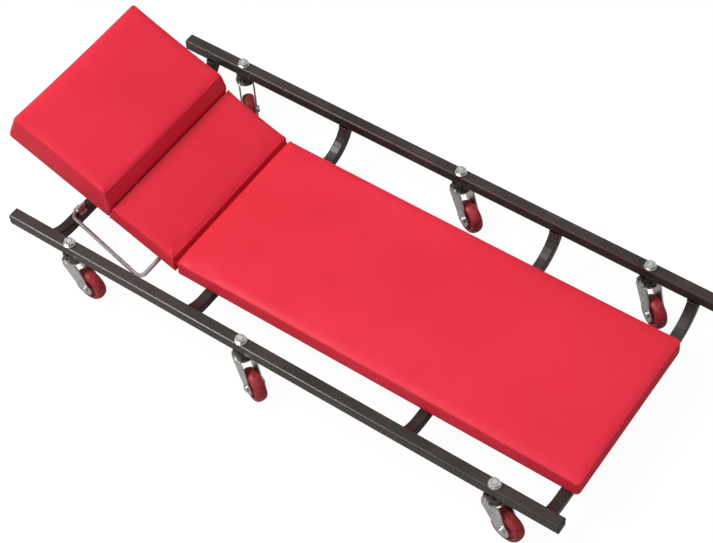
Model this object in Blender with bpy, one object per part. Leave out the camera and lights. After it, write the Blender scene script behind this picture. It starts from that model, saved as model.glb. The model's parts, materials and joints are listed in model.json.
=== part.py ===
"""Mechanic's creeper: tube frame, six swivel casters, padded deck, tilting head panel and its wire prop."""

import math

import bmesh
import bpy
from mathutils import Vector

# Sizes are in metres and angles in degrees. +X points to the foot end, +Y to the left side, +Z up.

# Fits
GAP = 0.0003
RUNNING_GAP = 0.0005
CUT_MARGIN = 0.004

# Side rails and cross-members, of two sizes of square tube
TUBE = 0.020
CROSS_TUBE = 0.018
TUBE_WALL = 0.0015
TUBE_CORNER = 0.0025
TUBE_CORNER_STEPS = 2
RAIL_LENGTH = 1.010
RAIL_Y = 0.228
RAIL_TOP = 0.112
CROSS_X = (-0.453, -0.177, 0.227, 0.471)
CROSS_DROP = 0.0625
CROSS_BEND = 0.0605
CROSS_INSET = 0.003
CROSS_BEND_STEPS = 7
PLUG_FLANGE = 0.002
PLUG_CHAMFER = 0.0008
PLUG_DEPTH = 0.012

# Casters: name, stem position along the rail, side of the frame, and the way the wheel trails
CASTERS = (
    ("right_head", -0.389, -1, -2.0),
    ("right_middle", -0.0525, -1, -24.0),
    ("right_foot", 0.396, -1, -9.0),
    ("left_head", -0.389, 1, -46.0),
    ("left_middle", 0.046, 1, -24.0),
    ("left_foot", 0.390, 1, -31.0),
)
WHEEL_RADIUS = 0.0285
WHEEL_WIDTH = 0.020
WHEEL_SHOULDER = 0.004
WHEEL_SHOULDER_SHARE = 0.3
WHEEL_HUB_RADIUS = 0.009
WHEEL_RIM_RADIUS = 0.0195
WHEEL_WEB = 0.012
TRAIL = 0.0275
AXLE_RADIUS = 0.003
AXLE_HEAD_RADIUS = 0.0058
AXLE_HEAD = 0.003
FORK_SHEET = 0.0022
FORK_SIDE_GAP = 0.001
FORK_PLATE_RADIUS = 0.0165
FORK_NOSE = 0.013
FORK_NOSE_DEPTH = 0.014
FORK_TAIL = 0.018
FORK_END_RADIUS = 0.0130
FORK_END_FIRST = 62.0
FORK_END_LAST = -128.0
FORK_END_STEPS = 9
STEM_RADIUS = 0.0048
STEM_CHAMFER = 0.0008
STEM_OVER_NUT = 0.0012
SWIVEL_HEAD_RADIUS = 0.0145
SWIVEL_HEAD = 0.0130
KING_PIN_RADIUS = 0.006
RIVET_RADIUS = 0.009
RIVET_HEAD = 0.002
NUT_FLANGE_RADIUS = 0.0098
NUT_FLANGE = 0.0012
NUT_FLAT = 0.0075
NUT_HEIGHT = 0.0065
ROUND_STEPS = 24
WHEEL_STEPS = 24
SMALL_ROUND_STEPS = 16

# Deck: a board on the cross-members and a pad wrapped over the board
BOARD = 0.009
DECK_THICKNESS = 0.028
DECK_FOOT_X = 0.4925
DECK_HALF_WIDTH = 0.1535
PAD_SKIRT = 0.004
PAD_CORNER = 0.007
PAD_CORNER_STEPS = 4

# Cross-section of a pad's edge: how far each ring is drawn in, and its share of the height
PAD_SIDE = ((0.0030, 0.0), (0.0008, 0.22), (0.0, 0.5), (0.0006, 0.72), (0.0020, 0.88), (0.0045, 0.965))
# Rings of the crowned top: how far each is drawn in, and its share of the crown
PAD_TOP = ((0.016, 0.0), (0.034, 0.40), (0.060, 0.72), (0.090, 0.92), (0.120, 1.0))
DECK_CROWN = 0.0025
NECK_CROWN = 0.0020
HEADREST_CROWN = 0.0040
NECK_CROWN_REACH = 0.45
HEADREST_CROWN_REACH = 0.65

# Head panel: hinge axis, tilt as photographed, and sizes measured from the hinge axis
HINGE_X = -0.2424
HINGE_DROP = 0.0035
HEAD_TILT = 21.9
DECK_HINGE_GAP = 0.002
PANEL_HINGE_GAP = 0.0020
NECK_SLANT = 0.0165
NECK_END = 0.140
STEP_RUN = 0.020
PANEL_LENGTH = 0.351
PANEL_HALF_WIDTH = 0.1535
HEAD_BOARD_GAP = 0.010
HEADREST_THICKNESS = 0.0520
# How much of a pad's edge rounding stays where two pads meet
NECK_JOIN_SHARE = 0.1
CREASE_SHARE = 0.35

# Hinges
HINGE_Y = 0.122
HINGE_WIDTH = 0.040
LEAF_LENGTH = 0.026
LEAF = 0.0015
KNUCKLE_RADIUS = 0.0032
KNUCKLE_BORE = 0.0018
KNUCKLE_CLEAR = 0.0037
LEAF_ROOT = 0.0010
LEAF_LAP = 0.0003
HINGE_PIN_RADIUS = 0.0014
HINGE_PIN_HEAD_RADIUS = 0.0026
HINGE_PIN_HEAD = 0.0012

# Wire prop: its pivots are on the head end's cross-member and its cross rod is under the head panel
ROD_RADIUS = 0.0035
ROD_STEPS = 10
PROP_LEG = 0.1757
PROP_ANGLE = -2.05
PROP_RIGHT_PIVOT = 0.157
PROP_LEFT_PIVOT = 0.125
PROP_RIGHT = 0.1975
PROP_LEFT = 0.160
PROP_END = 0.032
PROP_BEND = 0.010
PROP_BEND_STEPS = 5
CLIP_INSET = 0.019
CLIP_WIDTH = 0.014
CLIP_STRAP = 0.0015
CLIP_HALF_LENGTH = 0.0095
CLIP_ARC_STEPS = 8

# Levels and places that follow from the sizes above
RAIL_UNDERSIDE = RAIL_TOP - TUBE
CROSS_RUN = RAIL_TOP - CROSS_DROP
CROSS_RUN_TOP = CROSS_RUN + CROSS_TUBE / 2
DECK_UNDERSIDE = CROSS_RUN_TOP + GAP
HINGE_Z = DECK_UNDERSIDE - HINGE_DROP
DECK_HEAD_X = HINGE_X + DECK_HINGE_GAP
AXLE_Z = WHEEL_RADIUS
SWIVEL_HEAD_TOP = RAIL_UNDERSIDE - GAP
FORK_TOP = SWIVEL_HEAD_TOP - SWIVEL_HEAD - RUNNING_GAP
FORK_CHEEK_Y = WHEEL_WIDTH / 2 + FORK_SIDE_GAP
PROP_PIVOT_Z = CROSS_RUN_TOP + GAP + ROD_RADIUS

# Looks: base colour, roughness, metallic
RED_VINYL = ("red_vinyl", (0.74, 0.022, 0.045), 0.45, 0.0)
PLYWOOD = ("plywood", (0.45, 0.30, 0.17), 0.70, 0.0)
BLACK_STEEL = ("black_coated_steel", (0.030, 0.024, 0.022), 0.40, 0.0)
BLACK_PLASTIC = ("black_plastic", (0.020, 0.020, 0.020), 0.55, 0.0)
ZINC = ("zinc_plated_steel", (0.62, 0.61, 0.58), 0.35, 1.0)
CHROME = ("bright_wire", (0.75, 0.74, 0.74), 0.18, 1.0)
WHEEL_RED = ("red_wheel_rubber", (0.30, 0.018, 0.025), 0.50, 0.0)

FULL_TURN = 2 * math.pi
HEX_TURN = FULL_TURN / 6
SHARP_ANGLE = math.radians(35)
ALONG = Vector((1, 0, 0))
ACROSS = Vector((0, 1, 0))
UP = Vector((0, 0, 1))


def clear_scene():
    for obj in list(bpy.data.objects):
        bpy.data.objects.remove(obj, do_unlink=True)


def material(look):
    name, colour, roughness, metallic = look
    made = bpy.data.materials.get(name)
    if made:
        return made
    made = bpy.data.materials.new(name)
    made.use_nodes = True
    shader = made.node_tree.nodes["Principled BSDF"]
    shader.inputs["Base Color"].default_value = (*colour, 1)
    shader.inputs["Roughness"].default_value = roughness
    shader.inputs["Metallic"].default_value = metallic
    return made


def empty(name, parent, location, rotation=(0, 0, 0)):
    made = bpy.data.objects.new(name, None)
    bpy.context.collection.objects.link(made)
    made.parent = parent
    made.location = location
    made.rotation_euler = [math.radians(angle) for angle in rotation]
    return made


def piece(name, mesh, look, parent, location=(0, 0, 0)):
    if not mesh.materials:
        mesh.materials.append(material(look))
    made = bpy.data.objects.new(name, mesh)
    bpy.context.collection.objects.link(made)
    made.parent = parent
    made.location = location
    return made


def circle(radius, steps):
    return [(radius * math.cos(FULL_TURN * k / steps), radius * math.sin(FULL_TURN * k / steps)) for k in range(steps)]


def hexagon(flat, steps):
    """A hexagon with its sides cut into points, so that it joins a circle of as many points."""
    points = []
    for k in range(steps):
        angle = FULL_TURN * k / steps
        radius = flat / math.cos(angle % HEX_TURN - HEX_TURN / 2)
        points.append((radius * math.cos(angle), radius * math.sin(angle)))
    return points


def rounded_rectangle(low, high, radius, steps):
    """Corner points of a rectangle between two opposite corners, with its corners rounded."""
    points = []
    centres = (
        (high[0] - radius, high[1] - radius),
        (low[0] + radius, high[1] - radius),
        (low[0] + radius, low[1] + radius),
        (high[0] - radius, low[1] + radius),
    )
    for quarter, (x, y) in enumerate(centres):
        for step in range(steps + 1):
            angle = (quarter + step / steps) * math.pi / 2
            points.append((x + radius * math.cos(angle), y + radius * math.sin(angle)))
    return points


def loft(name, loops, wrap=False):
    """A closed body through loops of equally many points. It is capped at its ends, or wraps round to the start."""
    bm = bmesh.new()
    rings = [[bm.verts.new(point) for point in loop] for loop in loops]
    pairs = list(zip(rings, rings[1:]))
    if wrap:
        pairs.append((rings[-1], rings[0]))
    else:
        bm.faces.new(rings[0])
        bm.faces.new(rings[-1])
    for first, second in pairs:
        for k, vertex in enumerate(first):
            after = (k + 1) % len(first)
            bm.faces.new((vertex, first[after], second[after], second[k]))
    bmesh.ops.recalc_face_normals(bm, faces=bm.faces)
    mesh = bpy.data.meshes.new(name)
    bm.to_mesh(mesh)
    bm.free()
    return smoothed(mesh)


def smoothed(mesh):
    """Shades the round faces smooth and keeps the real edges sharp."""
    for polygon in mesh.polygons:
        polygon.use_smooth = True
    mesh.set_sharp_from_angle(angle=SHARP_ANGLE)
    return mesh


def combined(mesh, operation, others):
    """The mesh after a Boolean with each of the other meshes."""
    base = bpy.data.objects.new("base", mesh)
    bpy.context.collection.objects.link(base)
    helpers = [base]
    for other in others:
        helper = bpy.data.objects.new("helper", other)
        bpy.context.collection.objects.link(helper)
        helpers.append(helper)
        modifier = base.modifiers.new("combine", "BOOLEAN")
        modifier.operation = operation
        modifier.solver = "EXACT"
        modifier.object = helper
    bpy.context.view_layer.update()
    graph = bpy.context.evaluated_depsgraph_get()
    result = bpy.data.meshes.new_from_object(base.evaluated_get(graph), depsgraph=graph)
    result.name = mesh.name
    for helper in helpers:
        bpy.data.objects.remove(helper, do_unlink=True)
    return smoothed(result)


def bent_path(corners, radius=0.0, steps=1):
    """Places and directions along straight stretches that are joined by bends of one radius."""
    corners = [Vector(corner) for corner in corners]
    path = [(corners[0], (corners[1] - corners[0]).normalized())]
    for before, corner, after in zip(corners, corners[1:], corners[2:]):
        into = (corner - before).normalized()
        out = (after - corner).normalized()
        turn = into.angle(out)
        start = corner - into * (radius * math.tan(turn / 2))
        side = (out - into * into.dot(out)).normalized()
        for step in range(steps + 1):
            angle = turn * step / steps
            place = start + into * (radius * math.sin(angle)) + side * (radius * (1 - math.cos(angle)))
            path.append((place, into * math.cos(angle) + side * math.sin(angle)))
    path.append((corners[-1], (corners[-1] - corners[-2]).normalized()))
    return path


def swept(path, profile, flat):
    """The profile at each place of a path that lies in a plane with the normal flat."""
    loops = []
    for place, direction in path:
        side = flat.cross(direction)
        loops.append([place + side * a + flat * b for a, b in profile])
    return loops


def tube(name, path, flat, width, height):
    """A hollow rectangular tube along a path, open at both ends."""
    half = Vector((width / 2, height / 2))
    wall = Vector((TUBE_WALL, TUBE_WALL))
    outer = rounded_rectangle(-half, half, TUBE_CORNER, TUBE_CORNER_STEPS)
    inner = rounded_rectangle(wall - half, half - wall, TUBE_CORNER - TUBE_WALL, TUBE_CORNER_STEPS)
    return loft(name, swept(path, outer, flat) + swept(path, inner, flat)[::-1], wrap=True)


def turned(name, profile, axis, steps, wrap=False):
    """A turned body: (radius, place along the axis) from one end to the other."""
    loops = []
    for radius, place in profile:
        if axis == UP:
            loops.append([(a, b, place) for a, b in circle(radius, steps)])
        else:
            loops.append([(b, place, a) for a, b in circle(radius, steps)])
    return loft(name, loops, wrap)


def extruded(name, outline, low_y, high_y):
    """An outline in X and Z, drawn out along Y."""
    return loft(name, [[(x, y, z) for x, z in outline] for y in (low_y, high_y)])


def box(name, low, high):
    outline = ((low[0], low[2]), (high[0], low[2]), (high[0], high[2]), (low[0], high[2]))
    return extruded(name, outline, low[1], high[1])


def flat_slab(name, low, high, corner, bottom, top):
    """A flat board with rounded corners."""
    outline = rounded_rectangle(low, high, corner, PAD_CORNER_STEPS)
    return loft(name, [[(x, y, z) for x, y in outline] for z in (bottom, top)])


def build_rail(side, label, root):
    path = bent_path(((-RAIL_LENGTH / 2, 0, 0), (RAIL_LENGTH / 2, 0, 0)))
    mesh = tube("rail_" + label, path, UP, TUBE, TUBE)
    drills = []
    for name, x, caster_side, swivel in CASTERS:
        if caster_side == side:
            reach = TUBE / 2 + CUT_MARGIN
            drill = turned("drill", ((STEM_RADIUS + GAP, -reach), (STEM_RADIUS + GAP, reach)), UP, SMALL_ROUND_STEPS)
            for vertex in drill.vertices:
                vertex.co.x += x
            drills.append(drill)
    mesh = combined(mesh, "DIFFERENCE", drills)
    piece("rail_" + label, mesh, BLACK_STEEL, root, (0, side * RAIL_Y, RAIL_TOP - TUBE / 2))


def cross_path():
    """From under the right rail in a wide bend to the level run, and its mirror image up to the left rail."""
    drop = RAIL_UNDERSIDE - GAP - CROSS_RUN
    first = math.asin(1 - drop / CROSS_BEND)
    end_y = RAIL_Y - CROSS_INSET
    half = [(Vector((0, -end_y, CROSS_RUN + drop)), -UP)]
    for step in range(1, CROSS_BEND_STEPS + 1):
        angle = first + (math.pi / 2 - first) * step / CROSS_BEND_STEPS
        inward = CROSS_BEND * (math.cos(first) - math.cos(angle))
        place = Vector((0, inward - end_y, CROSS_RUN + CROSS_BEND * (1 - math.sin(angle))))
        half.append((place, Vector((0, math.sin(angle), -math.cos(angle)))))
    mirrored = [(Vector((0, -p.y, p.z)), Vector((0, d.y, -d.z))) for p, d in reversed(half)]
    return half + mirrored


def build_cross_members(root):
    mesh = tube("cross_member", cross_path(), ALONG, CROSS_TUBE, CROSS_TUBE)
    for number, x in enumerate(CROSS_X, 1):
        piece(f"cross_member_{number}", mesh, BLACK_STEEL, root, (x, 0, 0))


def build_rail_plugs(root):
    def square(half, corner):
        return rounded_rectangle((-half, -half), (half, half), corner, TUBE_CORNER_STEPS)

    full = square(TUBE / 2, TUBE_CORNER)
    face = square(TUBE / 2 - PLUG_CHAMFER, TUBE_CORNER - PLUG_CHAMFER)
    inside = square(TUBE / 2 - TUBE_WALL - GAP, TUBE_CORNER - TUBE_WALL)
    flange = GAP + PLUG_FLANGE
    for end, end_label in ((-1, "head"), (1, "foot")):
        stages = ((face, flange), (full, flange - PLUG_CHAMFER), (full, GAP), (inside, GAP), (inside, -PLUG_DEPTH))
        loops = [[(end * (RAIL_LENGTH / 2 + x), y, z) for y, z in loop] for loop, x in stages]
        mesh = loft("rail_plug_" + end_label, loops)
        for side, label in ((-1, "right"), (1, "left")):
            place = (0, side * RAIL_Y, RAIL_TOP - TUBE / 2)
            piece(f"rail_plug_{label}_{end_label}", mesh, BLACK_PLASTIC, root, place)


def nut_mesh():
    bottom = RAIL_TOP + GAP
    flange_top = bottom + NUT_FLANGE
    top = bottom + NUT_HEIGHT
    bore = circle(STEM_RADIUS + GAP, ROUND_STEPS)
    flange = circle(NUT_FLANGE_RADIUS, ROUND_STEPS)
    sides = hexagon(NUT_FLAT, ROUND_STEPS)
    stages = ((bore, bottom), (flange, bottom), (flange, flange_top), (sides, flange_top), (sides, top), (bore, top))
    return loft("lock_nut", [[(x, y, z) for x, y in loop] for loop, z in stages], wrap=True)


def swivel_head_mesh():
    stem_top = RAIL_TOP + GAP + NUT_HEIGHT + STEM_OVER_NUT
    head_bottom = SWIVEL_HEAD_TOP - SWIVEL_HEAD
    rivet_top = FORK_TOP - FORK_SHEET - RUNNING_GAP
    profile = (
        (STEM_RADIUS - STEM_CHAMFER, stem_top),
        (STEM_RADIUS, stem_top - STEM_CHAMFER),
        (STEM_RADIUS, SWIVEL_HEAD_TOP),
        (SWIVEL_HEAD_RADIUS, SWIVEL_HEAD_TOP),
        (SWIVEL_HEAD_RADIUS, head_bottom),
        (KING_PIN_RADIUS, head_bottom),
        (KING_PIN_RADIUS, rivet_top),
        (RIVET_RADIUS, rivet_top),
        (RIVET_RADIUS, rivet_top - RIVET_HEAD),
    )
    return turned("swivel_head", profile, UP, SMALL_ROUND_STEPS)


def fork_mesh():
    bore = KING_PIN_RADIUS + RUNNING_GAP
    bottom = FORK_TOP - FORK_SHEET
    plate_profile = ((bore, FORK_TOP), (FORK_PLATE_RADIUS, FORK_TOP), (FORK_PLATE_RADIUS, bottom), (bore, bottom))
    plate = turned("fork", plate_profile, UP, ROUND_STEPS, wrap=True)
    top = FORK_TOP - FORK_SHEET / 2
    outline = [(-FORK_NOSE, top), (FORK_TAIL, top)]
    for step in range(FORK_END_STEPS + 1):
        angle = math.radians(FORK_END_FIRST + (FORK_END_LAST - FORK_END_FIRST) * step / FORK_END_STEPS)
        outline.append((TRAIL + FORK_END_RADIUS * math.cos(angle), AXLE_Z + FORK_END_RADIUS * math.sin(angle)))
    outline.append((-FORK_NOSE, top - FORK_NOSE_DEPTH))
    cheeks = []
    for side in (-1, 1):
        edges = sorted((side * FORK_CHEEK_Y, side * (FORK_CHEEK_Y + FORK_SHEET)))
        cheeks.append(extruded("cheek", outline, *edges))
    reach = FORK_CHEEK_Y + FORK_SHEET + CUT_MARGIN
    drill = turned("drill", ((AXLE_RADIUS + GAP, -reach), (AXLE_RADIUS + GAP, reach)), ACROSS, SMALL_ROUND_STEPS)
    for vertex in drill.vertices:
        vertex.co += Vector((TRAIL, 0, AXLE_Z))
    return combined(combined(plate, "UNION", cheeks), "DIFFERENCE", [drill])


def axle_mesh():
    inner = FORK_CHEEK_Y + FORK_SHEET + GAP
    outer = inner + AXLE_HEAD
    profile = [(AXLE_HEAD_RADIUS, outer), (AXLE_HEAD_RADIUS, inner), (AXLE_RADIUS, inner)]
    profile += [(radius, -place) for radius, place in profile[::-1]]
    return turned("axle", profile, ACROSS, SMALL_ROUND_STEPS)


def wheel_mesh():
    half = WHEEL_WIDTH / 2
    bulge = WHEEL_SHOULDER * WHEEL_SHOULDER_SHARE
    profile = [
        (AXLE_RADIUS + GAP, half),
        (WHEEL_HUB_RADIUS, half),
        (WHEEL_HUB_RADIUS, WHEEL_WEB / 2),
        (WHEEL_RIM_RADIUS, WHEEL_WEB / 2),
        (WHEEL_RIM_RADIUS, half),
        (WHEEL_RADIUS - WHEEL_SHOULDER, half),
        (WHEEL_RADIUS - bulge, half - bulge),
        (WHEEL_RADIUS, half - WHEEL_SHOULDER),
    ]
    profile += [(radius, -place) for radius, place in profile[::-1]]
    return turned("wheel", profile, ACROSS, WHEEL_STEPS, wrap=True)


def build_casters(root):
    nut, head, fork, axle, wheel = nut_mesh(), swivel_head_mesh(), fork_mesh(), axle_mesh(), wheel_mesh()
    for name, x, side, swivel in CASTERS:
        stem = (x, side * RAIL_Y, 0)
        piece("lock_nut_" + name, nut, ZINC, root, stem)
        piece("swivel_head_" + name, head, ZINC, root, stem)
        swing = empty("swivel_axis_" + name, root, stem, (0, 0, swivel))
        piece("fork_" + name, fork, ZINC, swing)
        piece("axle_" + name, axle, ZINC, swing, (TRAIL, 0, AXLE_Z))
        piece("wheel_" + name, wheel, WHEEL_RED, swing, (TRAIL, 0, AXLE_Z))


def board_limits(head, foot, half_width, grow=0.0):
    """Opposite corners of the board that lies inside a pad's skirt."""
    side = half_width - PAD_SKIRT + grow
    return (head + PAD_SKIRT - grow, -side), (foot - PAD_SKIRT + grow, side)


def pad_mesh(
    name, ends, half_width, bottom, height, crown, crown_reach, shares, cutter, slant=0.0, slant_from=0.0
):
    """A crowned cushion with drawn-in sides, and a foot end that leans back by the slant above a given height.

    The shares flatten its rounding at the head and foot ends.
    """
    rings = [(inset, bottom + height * share) for inset, share in PAD_SIDE]
    rings += [(inset * crown_reach, bottom + height + crown * share) for inset, share in PAD_TOP]
    loops = []
    for inset, z in rings:
        low = (ends[0] + inset * shares[0], inset - half_width)
        lean = slant * max(0.0, z - bottom - slant_from) / (height - slant_from)
        high = (ends[1] - inset * shares[1] - lean, half_width - inset)
        outline = rounded_rectangle(low, high, PAD_CORNER, PAD_CORNER_STEPS)
        loops.append([(x, y, z) for x, y in outline])
    return combined(loft(name, loops), "DIFFERENCE", [cutter])


def build_deck(root):
    corner = PAD_CORNER - PAD_SKIRT
    low, high = board_limits(DECK_HEAD_X, DECK_FOOT_X, DECK_HALF_WIDTH)
    board = flat_slab("deck_board", low, high, corner, DECK_UNDERSIDE, DECK_UNDERSIDE + BOARD)
    piece("deck_board", board, PLYWOOD, root)
    low, high = board_limits(DECK_HEAD_X, DECK_FOOT_X, DECK_HALF_WIDTH, GAP)
    top = DECK_UNDERSIDE + BOARD + GAP
    cutter = flat_slab("cutter", low, high, corner, DECK_UNDERSIDE - CUT_MARGIN, top)
    pad = pad_mesh(
        "deck_pad",
        (DECK_HEAD_X, DECK_FOOT_X),
        DECK_HALF_WIDTH,
        DECK_UNDERSIDE,
        DECK_THICKNESS,
        DECK_CROWN,
        1.0,
        (CREASE_SHARE, 1.0),
        cutter,
    )
    piece("deck_pad", pad, RED_VINYL, root)


def build_head_panel(panel):
    corner = PAD_CORNER - PAD_SKIRT
    low, high = board_limits(-PANEL_LENGTH, -HEAD_BOARD_GAP, PANEL_HALF_WIDTH)
    top = HINGE_DROP + BOARD
    piece("head_board", flat_slab("head_board", low, high, corner, HINGE_DROP, top), PLYWOOD, panel)
    low, high = board_limits(-PANEL_LENGTH, -HEAD_BOARD_GAP, PANEL_HALF_WIDTH, GAP)

    def cutter():
        return flat_slab("cutter", low, high, corner, HINGE_DROP - CUT_MARGIN, top + GAP)

    neck = pad_mesh(
        "neck_pad",
        (-NECK_END, -PANEL_HINGE_GAP),
        PANEL_HALF_WIDTH,
        HINGE_DROP,
        DECK_THICKNESS,
        NECK_CROWN,
        NECK_CROWN_REACH,
        (NECK_JOIN_SHARE, CREASE_SHARE),
        cutter(),
        NECK_SLANT,
    )
    piece("neck_pad", neck, RED_VINYL, panel)
    headrest = pad_mesh(
        "headrest_pad",
        (-PANEL_LENGTH, -NECK_END - GAP),
        PANEL_HALF_WIDTH,
        HINGE_DROP,
        HEADREST_THICKNESS,
        HEADREST_CROWN,
        HEADREST_CROWN_REACH,
        (1.0, 1.0),
        cutter(),
        STEP_RUN,
        DECK_THICKNESS + NECK_CROWN,
    )
    piece("headrest_pad", headrest, RED_VINYL, panel)


def leaf_mesh(name, toward, knuckles):
    """A hinge leaf on one side of the hinge axis, with a knuckle over each stretch of the axis given."""
    top = HINGE_DROP - GAP
    bottom = top - LEAF
    half = HINGE_WIDTH / 2

    def plate(near, far, low_y, high_y):
        ends = sorted((toward * near, toward * far))
        return box(name, (ends[0], low_y, bottom), (ends[1], high_y, top))

    joined = []
    for low_y, high_y in knuckles:
        joined.append(plate(LEAF_ROOT, KNUCKLE_CLEAR + LEAF_LAP, low_y, high_y))
        ring = ((KNUCKLE_BORE, low_y), (KNUCKLE_RADIUS, low_y), (KNUCKLE_RADIUS, high_y), (KNUCKLE_BORE, high_y))
        joined.append(turned("knuckle", ring, ACROSS, SMALL_ROUND_STEPS, wrap=True))
    return combined(plate(KNUCKLE_CLEAR, LEAF_LENGTH, -half, half), "UNION", joined)


def build_hinges(root, panel):
    half = HINGE_WIDTH / 2
    third = HINGE_WIDTH / 6
    fixed = leaf_mesh("hinge_fixed_leaf", 1, ((-half, -third - GAP), (third + GAP, half)))
    moving = leaf_mesh("hinge_moving_leaf", -1, ((-third, third),))
    end = half + GAP
    profile = [(HINGE_PIN_HEAD_RADIUS, end + HINGE_PIN_HEAD), (HINGE_PIN_HEAD_RADIUS, end), (HINGE_PIN_RADIUS, end)]
    profile += [(radius, -place) for radius, place in profile[::-1]]
    pin = turned("hinge_pin", profile, ACROSS, SMALL_ROUND_STEPS)
    for side, label in ((-1, "right"), (1, "left")):
        place = (HINGE_X, side * HINGE_Y, HINGE_Z)
        piece("hinge_fixed_leaf_" + label, fixed, ZINC, root, place)
        piece("hinge_pin_" + label, pin, ZINC, root, place)
        piece("hinge_moving_leaf_" + label, moving, ZINC, panel, (0, side * HINGE_Y, 0))


def build_prop(root):
    """The wire prop, with its origin on its pivot over the cross-member, and the two clips that hold it down."""
    swing = empty("prop_axis", root, (CROSS_X[0], 0, PROP_PIVOT_Z), (0, PROP_ANGLE, 0))
    corners = [(0, PROP_END - PROP_RIGHT_PIVOT, 0), (0, -PROP_RIGHT_PIVOT, 0), (PROP_LEG, -PROP_RIGHT, 0)]
    corners += [(PROP_LEG, PROP_LEFT, 0), (0, PROP_LEFT_PIVOT, 0), (0, PROP_LEFT_PIVOT - PROP_END, 0)]
    path = bent_path(corners, PROP_BEND, PROP_BEND_STEPS)
    rod = loft("prop_wire", swept(path, circle(ROD_RADIUS, ROD_STEPS), UP))
    piece("prop_wire", rod, CHROME, swing)

    bottom = -ROD_RADIUS
    inner = ROD_RADIUS + GAP
    outer = inner + CLIP_STRAP
    outline = [(-CLIP_HALF_LENGTH, bottom), (-inner, bottom)]
    outline += clip_arc(inner, True)
    outline += [(inner, bottom), (CLIP_HALF_LENGTH, bottom), (CLIP_HALF_LENGTH, bottom + CLIP_STRAP)]
    outline += [(outer, bottom + CLIP_STRAP)]
    outline += clip_arc(outer, False)
    outline += [(-outer, bottom + CLIP_STRAP), (-CLIP_HALF_LENGTH, bottom + CLIP_STRAP)]
    clip = extruded("prop_clip", outline, -CLIP_WIDTH / 2, CLIP_WIDTH / 2)
    for label, y in (("right", CLIP_INSET - PROP_RIGHT_PIVOT), ("left", PROP_LEFT_PIVOT - CLIP_INSET)):
        piece("prop_clip_" + label, clip, ZINC, root, (CROSS_X[0], y, PROP_PIVOT_Z))


def clip_arc(radius, backward):
    """The half circle over the rod, from the foot side to the head side or backward."""
    angles = [math.pi * step / CLIP_ARC_STEPS for step in range(CLIP_ARC_STEPS + 1)]
    if backward:
        angles.reverse()
    return [(radius * math.cos(angle), radius * math.sin(angle)) for angle in angles]


def frame_shift():
    """Brings the middle of the creeper's outline, casters as parked and head panel up, over the origin."""
    tilt = math.radians(HEAD_TILT)
    head = HINGE_X - (PANEL_LENGTH - PAD_SIDE[0][0]) * math.cos(tilt) + HINGE_DROP * math.sin(tilt)
    foot = RAIL_LENGTH / 2 + GAP + PLUG_FLANGE
    lows, highs = [], []
    for name, x, side, swivel in CASTERS:
        angle = math.radians(swivel)
        tail = (TRAIL + WHEEL_RADIUS) * math.sin(angle)
        half = WHEEL_WIDTH / 2 * math.cos(angle)
        lows.append(side * RAIL_Y + min(tail - half, -FORK_PLATE_RADIUS))
        highs.append(side * RAIL_Y + max(tail + half, FORK_PLATE_RADIUS))
    return -(head + foot) / 2, -(min(lows) + max(highs)) / 2, 0


def build():
    clear_scene()
    root = empty("creeper", None, frame_shift())
    panel = empty("head_panel_axis", root, (HINGE_X, 0, HINGE_Z), (0, HEAD_TILT, 0))
    build_rail(-1, "right", root)
    build_rail(1, "left", root)
    build_cross_members(root)
    build_rail_plugs(root)
    build_casters(root)
    build_deck(root)
    build_head_panel(panel)
    build_hinges(root, panel)
    build_prop(root)
    print("sub-parts:", sum(obj.type == "MESH" for obj in bpy.data.objects))


build()
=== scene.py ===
# %% [markdown]
# A mechanic's creeper is a low, padded board on casters for working under a car.
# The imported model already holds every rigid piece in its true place, in metres.
# This script loads it, gives each piece its finish and models the soft pads anew.

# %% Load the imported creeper
import json
import math

import bmesh
import bpy
from mathutils import Matrix, Vector


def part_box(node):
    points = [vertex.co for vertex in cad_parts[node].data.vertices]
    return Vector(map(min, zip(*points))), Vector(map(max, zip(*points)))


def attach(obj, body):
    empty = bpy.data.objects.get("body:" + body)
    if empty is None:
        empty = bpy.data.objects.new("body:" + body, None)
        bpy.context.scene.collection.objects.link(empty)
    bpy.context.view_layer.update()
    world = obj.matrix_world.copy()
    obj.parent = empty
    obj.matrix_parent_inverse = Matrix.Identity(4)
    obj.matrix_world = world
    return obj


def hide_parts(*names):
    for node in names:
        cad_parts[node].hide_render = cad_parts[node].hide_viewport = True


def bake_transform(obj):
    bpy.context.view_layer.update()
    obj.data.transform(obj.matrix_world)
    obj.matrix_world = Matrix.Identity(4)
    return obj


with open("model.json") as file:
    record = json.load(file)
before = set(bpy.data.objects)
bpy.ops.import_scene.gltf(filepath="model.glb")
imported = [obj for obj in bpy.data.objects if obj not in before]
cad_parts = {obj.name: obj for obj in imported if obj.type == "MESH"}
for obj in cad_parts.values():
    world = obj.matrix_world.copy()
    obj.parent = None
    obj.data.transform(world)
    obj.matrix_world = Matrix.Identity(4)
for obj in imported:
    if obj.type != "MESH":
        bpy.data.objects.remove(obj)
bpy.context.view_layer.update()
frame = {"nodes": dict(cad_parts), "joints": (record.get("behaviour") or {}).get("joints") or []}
nodes = frame["nodes"]
joints = {joint["name"]: joint for joint in frame["joints"]}
scene = bpy.context.scene

# %% [markdown]
# The camera looks down on the creeper from beyond its foot end and its right side.
# Three turns set it: how far round it stands, how high it looks from, and a small roll.
# Writing the three axes into a matrix keeps the roll exact, which a tracking
# constraint would not do. The picture is 713 pixels wide, and the lens follows from that.

# %% Place the camera
EYE = Vector((1.078080, -1.362889, 2.361836))
AROUND, ABOVE, ROLL = (math.radians(turn) for turn in (37.48401, 53.01955, -3.41695))
FOCAL_PIXELS, PICTURE_WIDTH, SENSOR = 1830.8806, 713, 36.0

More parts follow.
